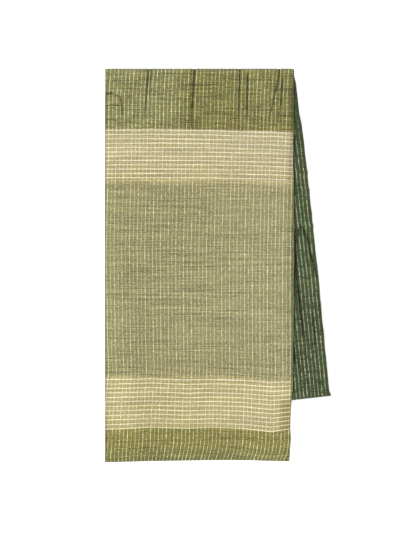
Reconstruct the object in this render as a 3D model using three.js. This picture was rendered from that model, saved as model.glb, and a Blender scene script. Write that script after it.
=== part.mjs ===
// A handloom saree, folded lengthwise in quarters and then to and fro, lying flat.
// Its woven end flap lies on top and turns over the straight fold at the far end;
// the dark body strip under it leans out to the right.
//
// Millimetres, +Z up. The origin is on the surface the saree lies on, under the
// middle of its box. X runs across the flap, Y along it towards the far fold.

import * as THREE from 'three';

const { lerp, clamp, smoothstep, degToRad } = THREE.MathUtils;

// ---- driving dimensions ------------------------------------------------------

const GAP = 0.3; // between pieces that lie on each other
const PLY_WALL = 1.2; // the flap's outer ply, and again the plies folded in under it
const STRIP_WALL = 1.4; // four plies of body cloth
const STRIP_WIDTH = 287.5; // a quarter of the 1150 cloth

const FLAP_LEFT = -172.8; // straight lengthwise fold
const TURN_RIGHT = 117.0; // right side of the cloth where it turns over the far fold
const FOLD_Y = 300.1; // outermost line of the far fold
const TURN_START_Y = 208.4; // where the woven cream band starts
const END_START_Y = -169.5; // where the end border starts, with the second cream band
const TAIL_LENGTH = 57; // how far the turned cloth reaches back under the pack
const HEM_LEFT_Y = -300.1;
const HEM_RIGHT_Y = -298.2;
const HEM_DEPTH = 9.5;
const HEM_STEP = 6; // over this length the ply thickens into the turned-up hem
const HEM_EXTRA = 0.6; // by this much

const LEAN = degToRad(5.95); // of the body strip, away from the flap
const END_SLANT = degToRad(7); // of the body strip's folded end
const STRIP_CORNER = { x: 170.5, y: -198.4 }; // near right corner of the body strip
const STRIP_BOW = 1.4; // its right side swells this much half way along
const CORNER_EAR = 2.3; // the selvedge corner pulled out sideways
const END_RADIUS = 2.8; // the strip's end turns down round the layer under it
const END_DROP = 1.6; // and hangs straight down this much more
const CORNER_RADIUS = 6; // of the hidden layers' corners, seen from above

const FALL_START = 4; // the flap leaves the pack this far past its side
const FALL_LENGTH = 60; // and is down on the surface this much further out

// The right side of the flap: its outer ply, and the plies that peep out under it.
const FLAP_RIGHT = [
  { y: 208.4, outer: 115.2, under: 116.7 },
  { y: -53.1, outer: 113.5, under: 115.8 },
  { y: -167.8, outer: 111.9, under: 114.1 },
  { y: -203.0, outer: 111.0, under: 113.5 },
  { y: -221.4, outer: 110.1, under: 111.7 },
  { y: -276.4, outer: 108.9, under: 111.0 },
  { y: -300.1, outer: 106.7, under: 108.0 },
];

// The folded layers from the surface up. Each reaches this far past (or, negative,
// short of) the body strip's outline, and joins the next one up in a fold at its near
// end or its far one. The lowest goes on as the tail of the far turn, so it starts there.
const LAYERS = [
  { height: 1.8, left: -3.0, right: -4.4, end: -5.2, far: -60, joins: 'end' },
  { height: 1.3, left: -1.2, right: -2.2, end: -5.2, far: 0, joins: 'far' },
  { height: 1.4, left: -2.4, right: -1.0, end: -2.6, far: 0, joins: 'end' },
  { height: 1.2, left: -0.8, right: -3.2, end: -2.6, far: 0, joins: 'far' },
  { height: 1.4, left: -2.6, right: -1.4, end: -4.2, far: 0, joins: 'end' },
  { height: 1.3, left: -1.4, right: -2.4, end: -4.2, far: 0, joins: 'far' },
  { height: 1.2, left: -0.6, right: -1.8, end: -2.4, far: 0, joins: 'end' },
  { height: 1.3, left: -1.8, right: -3.0, end: -2.4, far: 0, joins: 'far' },
];
const GROOVE = 1.6; // depth of the line between two layers, where no fold joins them
const LAYER_WAVE = { size: 0.5, turns: 2.3, shift: 0.37 }; // unevenness of their sides

// Creases that run down from the far fold: x at the fold, x at the lower end,
// length down the flap, half width and depth.
const CREASES = [
  { top: -105.5, foot: -111.6, length: 67, width: 3.2, depth: 0.9 },
  { top: -36.2, foot: -41.3, length: 81, width: 3.6, depth: 1.4 },
  { top: 32.9, foot: 31.4, length: 75, width: 2.8, depth: 0.8 },
  { top: 44.7, foot: 44.4, length: 58, width: 2.8, depth: 0.7 },
  { top: 93.3, foot: 79.5, length: 72, width: 3.4, depth: 1.2 },
  { top: 101.5, foot: 91.8, length: 78, width: 2.8, depth: 0.6 },
];

// The flap's two stretches, each between a line straight across and its near edge.
const FIELD = { far: TURN_START_Y - GAP, nearLeft: END_START_Y, nearRight: END_START_Y, rows: 12 };
const END = { far: END_START_Y - GAP, nearLeft: HEM_LEFT_Y, nearRight: HEM_RIGHT_Y, rows: 20 };

// How finely each piece is divided.
const FLAP_COLUMNS = { sinkingShare: 0.24, sinking: 9, flat: 9 };
const TURN_GRID = { beside: 16, sinking: 5, across: 19, crease: 5, tail: 3, bend: 10, flap: 9 };
const CREASE_SPREAD = 1.5; // a crease gets close columns this many half widths each way
const CLOSEST = 1.2; // columns nearer than this are one
const STRIP_COLUMNS = [0, 0.22, 0.44, 0.62, 0.74, 0.82, 0.88, 0.93, 0.97, 1];
const STRIP_GRID = { along: 14, alongShare: 0.94, earShare: 0.965, end: 4 };
const RING_GRID = { side: 9, corner: 3 };

// ---- worked out from them ----------------------------------------------------

const PACK_HEIGHT = LAYERS.reduce((sum, layer) => sum + layer.height, 0);
const STRIP_BASE = PACK_HEIGHT + GAP;
const FLAP_BASE = STRIP_BASE + STRIP_WALL + GAP;
const FLAP_WALL = 2 * PLY_WALL + GAP;
const TURN_RADIUS = (FLAP_BASE + FLAP_WALL) / 2;
const TURN_Y = FOLD_Y - TURN_RADIUS; // axis of the turn

// Corners of the body strip's outline, on the straight lines of its sides.
const STRIP = {
  nearRight: new THREE.Vector2(STRIP_CORNER.x, STRIP_CORNER.y),
  nearLeft: new THREE.Vector2(
    STRIP_CORNER.x - STRIP_WIDTH * Math.cos(END_SLANT),
    STRIP_CORNER.y - STRIP_WIDTH * Math.sin(END_SLANT),
  ),
};
STRIP.farRight = alongLean(STRIP.nearRight, TURN_Y);
STRIP.farLeft = alongLean(STRIP.nearLeft, TURN_Y);

function alongLean(corner, y) {
  return new THREE.Vector2(corner.x - (y - corner.y) * Math.tan(LEAN), y);
}

// ---- small helpers -----------------------------------------------------------

function spaced(from, to, count) {
  return Array.from({ length: count + 1 }, (_, i) => lerp(from, to, i / count));
}

// x of the flap's right side at y, for its 'outer' ply or the 'under' plies.
function flapRight(y, ply) {
  const lowerIndex = FLAP_RIGHT.findIndex((row, i) => i > 0 && row.y <= y);
  const lower = FLAP_RIGHT[lowerIndex];
  const upper = FLAP_RIGHT[lowerIndex - 1];
  return lerp(upper[ply], lower[ply], clamp((upper.y - y) / (upper.y - lower.y), 0, 1));
}

// How far a point lies outside the left side and the folded end of the pack.
function pastPack(x, y) {
  const side = (alongLean(STRIP.nearLeft, y).x - x) * Math.cos(LEAN);
  const endY = STRIP_CORNER.y - (STRIP_CORNER.x - x) * Math.tan(END_SLANT);
  const end = (endY - y) * Math.cos(END_SLANT);
  return side > 0 && end > 0 ? Math.hypot(side, end) : Math.max(side, end);
}

// Underside of the flap: on the pack, and sinking to the surface beside it.
function flapBase(x, y) {
  const past = pastPack(x, y) - FALL_START;
  return FLAP_BASE * (1 - smoothstep(past, 0, FALL_LENGTH));
}

// A point of the flap, offset square to its slope but straight above (x, y).
function flapPoint(x, y, offset) {
  const step = 0.5;
  const slopeX = (flapBase(x + step, y) - flapBase(x - step, y)) / (2 * step);
  const slopeY = (flapBase(x, y + step) - flapBase(x, y - step)) / (2 * step);
  const steepness = Math.hypot(1, slopeX, slopeY);
  return new THREE.Vector3(x, y, flapBase(x, y) + offset * steepness);
}

// ---- closed bodies -----------------------------------------------------------

function bodyFrom(points, triangles) {
  const geometry = new THREE.BufferGeometry();
  const flat = points.flatMap((point) => [point.x, point.y, point.z]);
  geometry.setAttribute('position', new THREE.Float32BufferAttribute(flat, 3));
  geometry.setIndex(triangles);
  geometry.computeVertexNormals();
  return geometry;
}

// A wall of cloth between two grids of points, outer[row][column] and inner. Rows
// run away from the far fold and columns to the right, seen from the outer side.
function clothWall(outer, inner) {
  const rows = outer.length;
  const columns = outer[0].length;
  const innerStart = rows * columns;
  const at = (row, column) => row * columns + column;
  const triangles = [];
  for (let row = 0; row + 1 < rows; row += 1) {
    for (let column = 0; column + 1 < columns; column += 1) {
      const a = at(row, column);
      const b = at(row + 1, column);
      const c = at(row + 1, column + 1);
      const d = at(row, column + 1);
      triangles.push(a, b, c, a, c, d);
      triangles.push(...[c, b, a, d, c, a].map((corner) => corner + innerStart));
    }
  }
  const rim = [
    ...Array.from({ length: rows - 1 }, (_, i) => at(i, 0)),
    ...Array.from({ length: columns - 1 }, (_, i) => at(rows - 1, i)),
    ...Array.from({ length: rows - 1 }, (_, i) => at(rows - 1 - i, columns - 1)),
    ...Array.from({ length: columns - 1 }, (_, i) => at(0, columns - 1 - i)),
  ];
  rim.forEach((p, i) => {
    const q = rim[(i + 1) % rim.length];
    triangles.push(q, p, p + innerStart, q, p + innerStart, q + innerStart);
  });
  return bodyFrom([...outer.flat(), ...inner.flat()], triangles);
}

// A body between level rings of equally many points, from the lowest ring up.
function stackedBody(rings) {
  const count = rings[0].length;
  const triangles = [];
  for (let ring = 0; ring + 1 < rings.length; ring += 1) {
    for (let i = 0; i < count; i += 1) {
      const next = (i + 1) % count;
      const a = ring * count + i;
      const b = ring * count + next;
      triangles.push(a, b, b + count, a, b + count, a + count);
    }
  }
  const points = rings.flat();
  const cap = (ring, start, faceDown) => {
    const middle = new THREE.Vector3();
    ring.forEach((point) => middle.addScaledVector(point, 1 / count));
    const hub = points.push(middle) - 1;
    for (let i = 0; i < count; i += 1) {
      const a = start + i;
      const b = start + ((i + 1) % count);
      triangles.push(hub, ...(faceDown ? [b, a] : [a, b]));
    }
  };
  cap(rings[0], 0, true);
  cap(rings.at(-1), (rings.length - 1) * count, false);
  return bodyFrom(points, triangles);
}

// ---- the end flap ------------------------------------------------------------

// Closer columns over the side that sinks past the pack. The under plies have one more
// column, where they peep out past the outer ply.
function flapGrid(stretch, offsetAt, isUnder) {
  const { sinkingShare, sinking, flat } = FLAP_COLUMNS;
  const columns = [...spaced(0, sinkingShare, sinking), ...spaced(sinkingShare, 1, flat).slice(1)];
  return spaced(0, 1, stretch.rows).map((share) => {
    const row = columns.map((across) => {
      const near = lerp(stretch.nearLeft, stretch.nearRight, across);
      const y = lerp(stretch.far, near, share);
      const x = lerp(FLAP_LEFT, flapRight(y, 'outer'), across);
      return flapPoint(x, y, offsetAt(y - lerp(HEM_LEFT_Y, HEM_RIGHT_Y, across)));
    });
    if (isUnder) {
      const { y } = row.at(-1);
      row.push(flapPoint(flapRight(y, 'under'), y, offsetAt()));
    }
    return row;
  });
}

function outerPly(stretch) {
  const hemShare = (toHem) => 1 - smoothstep(toHem, HEM_DEPTH, HEM_DEPTH + HEM_STEP);
  const outer = flapGrid(stretch, (toHem) => FLAP_WALL + HEM_EXTRA * hemShare(toHem), false);
  return clothWall(outer, flapGrid(stretch, () => PLY_WALL + GAP, false));
}

function underPlies(stretch) {
  return clothWall(flapGrid(stretch, () => PLY_WALL, true), flapGrid(stretch, () => 0, true));
}

// ---- the turn over the far fold ------------------------------------------------

// Columns: an even spacing, closer beside the pack and where a crease runs.
function turnColumns() {
  const sinking = spaced(FLAP_LEFT, FLAP_LEFT + TURN_GRID.beside, TURN_GRID.sinking);
  const evenly = spaced(sinking.at(-1), TURN_RIGHT, TURN_GRID.across);
  const creased = CREASES.flatMap(({ top, foot, width }) => {
    const spread = CREASE_SPREAD * width;
    return spaced(Math.min(top, foot) - spread, Math.max(top, foot) + spread, TURN_GRID.crease);
  });
  const sorted = [...sinking, ...evenly, ...creased].sort((a, b) => a - b);
  const kept = sorted.filter((x, i) => i === 0 || x - sorted[i - 1] > CLOSEST);
  kept[kept.length - 1] = TURN_RIGHT;
  return kept;
}

// How deep the creases press in, `down` along the cloth from the fold's outermost line.
function creaseDepth(x, down) {
  return CREASES.reduce((sum, { top, foot, length, width, depth }) => {
    const share = down / length;
    const middle = lerp(top, foot, clamp(share, 0, 1));
    const profile = Math.exp(-(((x - middle) / width) ** 2));
    const fade = 1 - smoothstep(share, 0.35, 1);
    const overFold = smoothstep(down, -TURN_RADIUS, 0);
    return sum + depth * profile * fade * overFold;
  }, 0);
}

// The cloth comes up the flap, round the far fold and a little way back under the pack.
// Each row says how far it is turned over (0 to 1) and how far down the cloth it is.
function turnRows() {
  const quarter = (TURN_RADIUS * Math.PI) / 2;
  const tail = spaced(TURN_Y - TAIL_LENGTH, TURN_Y, TURN_GRID.tail).slice(0, -1);
  const bend = spaced(1, 0, TURN_GRID.bend);
  const flap = spaced(TURN_Y, TURN_START_Y, TURN_GRID.flap).slice(1);
  return [
    ...tail.map((y) => ({ part: 'tail', y, turned: 1, down: y - TURN_Y - quarter })),
    ...bend.map((turned) => ({ part: 'bend', turned, down: quarter * (1 - 2 * turned) })),
    ...flap.map((y) => ({ part: 'flap', y, turned: 0, down: TURN_Y - y + quarter })),
  ];
}

function turnPoint(x, row, outer) {
  const crease = outer ? creaseDepth(x, row.down) : 0;
  if (row.part === 'flap') {
    return flapPoint(x, row.y, outer ? FLAP_WALL - crease : 0);
  }
  if (row.part === 'tail') {
    const leaning = x + (TURN_Y - row.y) * Math.tan(LEAN);
    return new THREE.Vector3(leaning, row.y, outer ? 0 : STRIP_WALL);
  }
  const wall = lerp(FLAP_WALL, STRIP_WALL, row.turned);
  const radius = TURN_RADIUS - (outer ? crease : wall);
  const angle = Math.PI * (0.5 - row.turned);
  const y = TURN_Y + radius * Math.cos(angle);
  return new THREE.Vector3(x, y, TURN_RADIUS + radius * Math.sin(angle));
}

function farTurn() {
  const columns = turnColumns();
  const grid = (outer) => turnRows().map((row) => columns.map((x) => turnPoint(x, row, outer)));
  return clothWall(grid(true), grid(false));
}

// ---- the body strip that shows beside the flap -----------------------------------

// Place in plan: `across` from its left side to its right, `share` from the far fold.
function stripPlan(across, share) {
  const far = STRIP.farLeft.clone().lerp(STRIP.farRight, across);
  const near = STRIP.nearLeft.clone().lerp(STRIP.nearRight, across);
  const point = far.lerp(near, share);
  point.x += STRIP_BOW * Math.sin(Math.PI * share) * across ** 4;
  const ear = smoothstep(share, STRIP_GRID.earShare, 1) * smoothstep(across, 0.97, 1);
  point.x += CORNER_EAR * ear;
  return point;
}

function bodyStrip() {
  const top = STRIP_BASE + STRIP_WALL;
  const down = new THREE.Vector2(Math.sin(LEAN), -Math.cos(LEAN));
  const flatShare = 1 - END_RADIUS / STRIP.farRight.distanceTo(STRIP.nearRight);
  const shares = [
    ...spaced(0, STRIP_GRID.alongShare, STRIP_GRID.along),
    (STRIP_GRID.alongShare + flatShare) / 2,
    flatShare,
  ];
  const rows = [
    ...shares.map((share) => ({ share, bend: 0, drop: 0 })),
    ...spaced(0, Math.PI / 2, STRIP_GRID.end).slice(1).map((bend) => ({ share: flatShare, bend, drop: 0 })),
    { share: flatShare, bend: Math.PI / 2, drop: END_DROP },
  ];
  const grid = (radius) => rows.map(({ share, bend, drop }) => STRIP_COLUMNS.map((across) => {
    const plan = stripPlan(across, share).addScaledVector(down, radius * Math.sin(bend));
    return new THREE.Vector3(plan.x, plan.y, top - END_RADIUS + radius * Math.cos(bend) - drop);
  }));
  return clothWall(grid(END_RADIUS), grid(END_RADIUS - STRIP_WALL));
}

// ---- the hidden layers -----------------------------------------------------------

// One side of a ring, between two rounded corners, slightly wavy.
function ringSide(from, to, wave) {
  const outward = to.clone().sub(from).normalize();
  outward.set(outward.y, -outward.x);
  return spaced(0, 1, RING_GRID.side).slice(1, -1).map((share) => {
    const ripple = Math.sin(2 * Math.PI * (LAYER_WAVE.turns * share + wave));
    const bulge = LAYER_WAVE.size * ripple * Math.sin(Math.PI * share);
    return from.clone().lerp(to, share).addScaledVector(outward, bulge);
  });
}

// Outline of the layers at one height: four sides with rounded corners, anticlockwise.
function layerRing(reach, z, wave) {
  const right = new THREE.Vector2(Math.cos(LEAN), Math.sin(LEAN));
  const away = new THREE.Vector2(-Math.sin(LEAN), Math.cos(LEAN));
  const moved = (corner, side, length) => (
    corner.clone().addScaledVector(right, side).addScaledVector(away, length)
  );
  const corners = [
    moved(STRIP.nearLeft, -reach.left, -reach.end),
    moved(STRIP.nearRight, reach.right, -reach.end),
    moved(STRIP.farRight, reach.right, reach.far),
    moved(STRIP.farLeft, -reach.left, reach.far),
  ];
  const towards = (from, to) => from.clone().lerp(to, CORNER_RADIUS / from.distanceTo(to));
  const ring = corners.flatMap((here, i) => {
    const before = corners[(i + corners.length - 1) % corners.length];
    const after = corners[(i + 1) % corners.length];
    const bend = new THREE.QuadraticBezierCurve(towards(here, before), here, towards(here, after));
    const side = ringSide(towards(here, after), towards(after, here), wave);
    return [...bend.getPoints(RING_GRID.corner), ...side];
  });
  return ring.map((point) => new THREE.Vector3(point.x, point.y, z));
}

// The far end of the layers fills the inside of the turn, so it is round there too.
function farReach(z) {
  const room = TURN_RADIUS - FLAP_WALL - GAP - LAYER_WAVE.size;
  return Math.sqrt(Math.max(0, room ** 2 - (z - TURN_RADIUS) ** 2));
}

// Each layer bulges between the grooves above and below it. A fold closes the groove.
function foldedLayers() {
  const rings = [];
  const addRing = (lower, upper, z, inset, joins, wave) => {
    const reach = {
      left: Math.min(lower.left, upper.left) - inset,
      right: Math.min(lower.right, upper.right) - inset,
      end: Math.min(lower.end, upper.end) - (joins === 'end' ? 0 : inset),
      far: Math.min(lower.far, upper.far) + farReach(z) - (joins === 'far' ? 0 : inset),
    };
    rings.push(layerRing(reach, z, wave));
  };
  let floor = 0;
  LAYERS.forEach((layer, i) => {
    const wave = LAYER_WAVE.shift * i;
    const below = LAYERS[i - 1] ?? layer;
    addRing(below, layer, floor, GROOVE, i > 0 ? below.joins : 'none', wave);
    addRing(layer, layer, floor + 0.25 * layer.height, 0, 'none', wave);
    addRing(layer, layer, floor + 0.75 * layer.height, 0, 'none', wave);
    floor += layer.height;
  });
  addRing(LAYERS.at(-1), LAYERS.at(-1), PACK_HEIGHT, GROOVE, 'none', 0);
  return stackedBody(rings);
}

// ---- the saree -------------------------------------------------------------------

function piece(name, geometry, color, roughness) {
  const material = new THREE.MeshStandardMaterial({ color, roughness, metalness: 0 });
  const mesh = new THREE.Mesh(geometry, material);
  mesh.name = name;
  return mesh;
}

const saree = new THREE.Group();
saree.add(
  piece('field_outer_ply', outerPly(FIELD), 0xa39f76, 0.85),
  piece('field_under_plies', underPlies(FIELD), 0x8f8c58, 0.88),
  piece('end_outer_ply', outerPly(END), 0x978f61, 0.85),
  piece('end_under_plies', underPlies(END), 0x8f8c58, 0.88),
  piece('far_turn', farTurn(), 0x8b885c, 0.85),
  piece('body_strip', bodyStrip(), 0x5a6349, 0.85),
  piece('folded_layers', foldedLayers(), 0x525b42, 0.88),
);

export default saree;
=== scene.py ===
"""A folded handloom saree lying flat: its cloth, weave, creases, hem and loose threads.

Lengths are in millimetres until a mesh is made, in the CAD part's own frame: X across
the end flap, Y along it towards the far fold, Z up from the surface it lies on.
"""
import math

import bpy
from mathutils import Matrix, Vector, noise


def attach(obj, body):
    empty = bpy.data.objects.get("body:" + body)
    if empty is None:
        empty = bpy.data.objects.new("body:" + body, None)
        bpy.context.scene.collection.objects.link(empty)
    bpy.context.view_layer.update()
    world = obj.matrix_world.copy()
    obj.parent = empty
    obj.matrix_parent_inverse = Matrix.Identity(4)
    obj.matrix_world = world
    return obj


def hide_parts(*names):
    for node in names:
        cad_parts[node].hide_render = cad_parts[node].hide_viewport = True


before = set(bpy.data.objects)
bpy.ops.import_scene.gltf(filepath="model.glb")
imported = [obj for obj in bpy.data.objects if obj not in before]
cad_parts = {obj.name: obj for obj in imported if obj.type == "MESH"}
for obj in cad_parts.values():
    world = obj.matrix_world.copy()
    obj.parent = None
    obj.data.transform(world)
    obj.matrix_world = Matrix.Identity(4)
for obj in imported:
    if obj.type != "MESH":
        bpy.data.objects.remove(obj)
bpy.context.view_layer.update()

MM = 0.001

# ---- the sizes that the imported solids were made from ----

GAP = 0.3
STRIP_WALL = 1.4
STRIP_WIDTH = 287.5
# Layers from below: height, how far they reach past the strip's outline at the left, right,
# end and far side, and at which side each is joined to the next.
PACK_LAYERS = [
    (1.8, -3.0, -4.4, -5.2, -60.0, "end"),
    (1.3, -1.2, -2.2, -5.2, 0.0, "far"),
    (1.4, -2.4, -1.0, -2.6, 0.0, "end"),
    (1.2, -0.8, -3.2, -2.6, 0.0, "far"),
    (1.4, -2.6, -1.4, -4.2, 0.0, "end"),
    (1.3, -1.4, -2.4, -4.2, 0.0, "far"),
    (1.2, -0.6, -1.8, -2.4, 0.0, "end"),
    (1.3, -1.8, -3.0, -2.4, 0.0, "far"),
]
PACK_HEIGHT = sum(layer[0] for layer in PACK_LAYERS)
STRIP_BASE = PACK_HEIGHT + GAP
FLAP_BASE = STRIP_BASE + STRIP_WALL + GAP
FLAP_WALL = 2.7
TURN_RADIUS = (FLAP_BASE + FLAP_WALL) / 2
FLAP_LEFT, FLAP_WIDTH = -172.8, 282
FOLD_Y = 300.1
TURN_Y = FOLD_Y - TURN_RADIUS
TAIL_LENGTH = 59.5
HEM_LEFT_Y, HEM_RIGHT_Y = -300.1, -298.2
HEM_DEPTH, HEM_STEP = 9.5, 6.0
HEM_EDGE = [  # x, how far the hem's edge lies beyond a straight one
    (-171, 1.5), (-98, 0.0), (-6, -0.7), (31, -0.6), (104, 1.7),
]
LEAN = math.radians(5.95)
END_SLANT = math.radians(7.0)
STRIP_NEAR_RIGHT = (170.5, -198.4)
STRIP_BOW, CORNER_EAR = 1.4, 2.3
END_REACH = (1.15, 1.6)  # how far the strip's end lies beyond its solid, and at its corner
STRIP_EDGE = [  # place along the strip from 0 to 1, how far its right side lies out there
    (0, -4.7), (0.011, -3.2), (0.02, -2.9), (0.03, -1.8), (0.04, -2.0), (0.13, -2.2),
    (0.157, -0.45), (0.25, 0), (0.58, 0), (0.61, 0.7), (0.665, 0.7), (0.69, 0),
]
SNAGS = [(0.307, 1.0), (0.363, 0.9), (0.475, 1.1)]  # where an end of weft pulls the side out
SNAG_HALF = 0.008  # half a snag's length, as a share of the strip's
END_RADIUS, END_DROP = 2.8, 1.6
FALL_START, FALL_LENGTH = 4.0, 60.0
FLAP_RIGHT = [  # y, right side of the outer ply, right side of the plies under it
    (-300.1, 107.8, 109.4), (-278, 108.6, 110.5), (-267, 109.8, 111.9), (-250, 109.0, 110.1),
    (-221, 109.8, 111.2), (-190, 111.3, 113.8), (-105, 112.8, 114.8), (-15, 113.9, 115.8),
    (30, 114.3, 115.9), (140, 114.5, 115.5), (186, 113.8, 114.5), (208, 114.6, 115.8),
    (292, 114.6, 115.9),
]


# ---- small helpers ----

def lerp(a, b, t):
    return a + (b - a) * t


def clamp(x, low=0.0, high=1.0):
    return min(max(x, low), high)


def smoothstep(x, low, high):
    t = clamp((x - low) / (high - low))
    return t * t * (3 - 2 * t)


def window(x, rise, top, end, gone):
    """0 before rise, 1 from top to end, 0 after gone, softly between."""
    return smoothstep(x, rise, top) * (1 - smoothstep(x, end, gone))


def spaced(start, stop, count):
    """Both ends and the places between them that part the way into `count` steps."""
    return [lerp(start, stop, i / count) for i in range(count + 1)]


def table_at(rows, x):
    """Columns 1 onwards of a table at x, whose first column rises."""
    if x <= rows[0][0]:
        return rows[0][1:]
    for low, high in zip(rows, rows[1:]):
        if x <= high[0]:
            t = (x - low[0]) / (high[0] - low[0])
            return tuple(lerp(a, b, t) for a, b in zip(low[1:], high[1:]))
    return rows[-1][1:]


def ripple(x, y, size, seed):
    """Smooth unevenness from -1 to 1, with bumps about `size` across."""
    return 1.6 * noise.noise(Vector((x / size, y / size, seed)))


def swelling(x, y, size, seed):
    """The same from 0 to 1."""
    return clamp(0.5 + 0.5 * ripple(x, y, size, seed))


def bell(distance, width):
    return math.exp(-(distance / width) ** 2)


def arc(middle, height, radius, start, stop, count):
    """Places round part of a circle, in degrees from +X: place across, height, angle."""
    for angle in spaced(start, stop, count):
        a = math.radians(angle)
        yield middle + radius * math.cos(a), height + radius * math.sin(a), angle


def under_ply(places, thick):
    """Points of a section at places across and high, on plies that don't show."""
    return [(x, height, thick, 1.0, 0.0) for x, height, *_ in places]


# ---- where the cloth lies ----

SWELLS = [  # the flap's swells: height, size, stretched across and along, seed
    (0.45, 62, 1.0, 0.6, 3.1), (0.16, 21, 0.8, 1.0, 8.7),
]
LOOSE_FROM = 70  # the flap swells fully this far from its far fold
LEFT_IN = [(0.4, 5, 60), (0.25, 120, 200)]  # how far its left side lies in, and until where


def along_lean(corner, y):
    """x at y on a line through the corner that leans as the strip does."""
    return corner[0] - (y - corner[1]) * math.tan(LEAN)


STRIP_NEAR_LEFT = (
    STRIP_NEAR_RIGHT[0] - STRIP_WIDTH * math.cos(END_SLANT),
    STRIP_NEAR_RIGHT[1] - STRIP_WIDTH * math.sin(END_SLANT),
)
STRIP_FAR_RIGHT = (along_lean(STRIP_NEAR_RIGHT, TURN_Y), TURN_Y)
STRIP_FAR_LEFT = (along_lean(STRIP_NEAR_LEFT, TURN_Y), TURN_Y)
STRIP_LENGTH = math.hypot(STRIP_FAR_RIGHT[0] - STRIP_NEAR_RIGHT[0],
                          STRIP_FAR_RIGHT[1] - STRIP_NEAR_RIGHT[1])


def strip_pull(across, share):
    """How far the strip lies to the right of a straight one, here and there also snagged."""
    out = table_at(STRIP_EDGE, share)[0]
    for place, reach in SNAGS:
        out += reach * max(0.0, 1 - abs(share - place) / SNAG_HALF)
    return out * across ** 4


def past_pack(x, y):
    """How far a point lies outside the pack's left side and its folded end."""
    side = (along_lean(STRIP_NEAR_LEFT, y) - x) * math.cos(LEAN)
    end_y = STRIP_NEAR_RIGHT[1] - (STRIP_NEAR_RIGHT[0] - x) * math.tan(END_SLANT)
    end = (end_y - y) * math.cos(END_SLANT)
    return math.hypot(side, end) if side > 0 and end > 0 else max(side, end)


def flap_base(x, y):
    """Height of the flap's underside, which falls to the surface past the pack."""
    return FLAP_BASE * (1 - smoothstep(past_pack(x, y) - FALL_START, 0, FALL_LENGTH))


def flap_swell(x, y):
    """The cloth's slight looseness, none where it goes over the far fold."""
    swell = sum(height * swelling(x * across, y * along, size, seed)
                for height, size, across, along, seed in SWELLS)
    return smoothstep(TURN_Y - y, 0, LOOSE_FROM) * swell


def flap_place(x, y, offset):
    slope_x = flap_base(x + 0.5, y) - flap_base(x - 0.5, y)
    slope_y = flap_base(x, y + 0.5) - flap_base(x, y - 0.5)
    steepness = math.sqrt(1 + slope_x ** 2 + slope_y ** 2)
    return (x, y, flap_base(x, y) + flap_swell(x, y) + offset * steepness)


def flap_left(v):
    """Left side of the flap, which lies in a little towards the far fold."""
    return FLAP_LEFT + sum(inward * (1 - smoothstep(v, start, stop))
                           for inward, start, stop in LEFT_IN)


def hem_y(x):
    straight = lerp(HEM_LEFT_Y, HEM_RIGHT_Y, clamp((x - FLAP_LEFT) / FLAP_WIDTH))
    return straight - table_at(HEM_EDGE, x)[0]


def flap_right(y):
    """Right sides of the outer ply and of the plies under it, both a little uneven."""
    outer, under = table_at(FLAP_RIGHT, y)
    outer += 0.3 * ripple(0, y, 17, 1.3)
    under += 0.45 * ripple(5, y, 26, 4.4) + 0.2 * ripple(9, y, 7, 2.2)
    return outer, max(under, outer + 0.4)


# ---- closed cloth shells ----

def shell_faces(rows, columns):
    """Faces of a closed shell: its outer points in rows, then its inner ones, and the rim."""
    start = rows * columns
    faces = []
    for r in range(rows - 1):
        for c in range(columns - 1):
            a = r * columns + c
            quad = (a, a + columns, a + columns + 1, a + 1)
            faces.append(quad)
            faces.append(tuple(i + start for i in reversed(quad)))
    last = (rows - 1) * columns
    rim = [r * columns for r in range(rows - 1)]
    rim += [last + c for c in range(columns - 1)]
    rim += [r * columns + columns - 1 for r in range(rows - 1, 0, -1)]
    rim += list(range(columns - 1, 0, -1))
    for p, q in zip(rim, rim[1:] + rim[:1]):
        faces.append((q, p, p + start, q + start))
    return faces


SHEET_SHARP, ROUND_SHARP = 40, 60  # degrees from which an edge between faces stays sharp


def make_mesh(name, points, faces, weave, wear=None, sharp=SHEET_SHARP):
    """A mesh object in metres, with its weave coordinates and painted shade kept on its points."""
    mesh = bpy.data.meshes.new(name)
    mesh.from_pydata([(x * MM, y * MM, z * MM) for x, y, z in points], [], faces)
    mesh.update()
    volume = sum(face.center.dot(face.normal) * face.area for face in mesh.polygons)
    if volume < 0:
        mesh.flip_normals()
    layer = mesh.attributes.new("weave", "FLOAT_VECTOR", "POINT")
    layer.data.foreach_set("vector", [value for row in weave for value in row])
    layer = mesh.attributes.new("wear", "FLOAT", "POINT")
    layer.data.foreach_set("value", wear or [0.0] * len(points))
    mesh.polygons.foreach_set("use_smooth", [True] * len(mesh.polygons))
    mesh.set_sharp_from_angle(angle=math.radians(sharp))
    thing = bpy.data.objects.new(name, mesh)
    bpy.context.scene.collection.objects.link(thing)
    return thing


def folded_sheet(name, rows, section, position, weave_at):
    """A closed shell. section(row) gives (x, offset, thickness, ply, painted shade) round the
    folds.
    """
    outer, inner, weave, wear = [], [], [], []
    for row in rows:
        line = section(row)
        run = 0.0
        for i, (x, offset, thick, ply, shade_amount) in enumerate(line):
            before, after = line[max(i - 1, 0)], line[min(i + 1, len(line) - 1)]
            tx, to = after[0] - before[0], after[1] - before[1]
            length = math.hypot(tx, to) or 1.0
            nx, no = to / length, -tx / length
            if i:
                run += math.hypot(x - line[i - 1][0], offset - line[i - 1][1])
            for points, side in ((outer, 0.5), (inner, -0.5)):
                out = row["lift"] + row["up"] * side * thick
                points.append(position(row, x + nx * out, offset + no * out,
                                       row["along"] * side * thick))
            weave.append(weave_at(row, x, run, ply))
            wear.append(shade_amount)
    return make_mesh(name, outer + inner, shell_faces(len(rows), len(line)), weave * 2, wear * 2)
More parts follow.
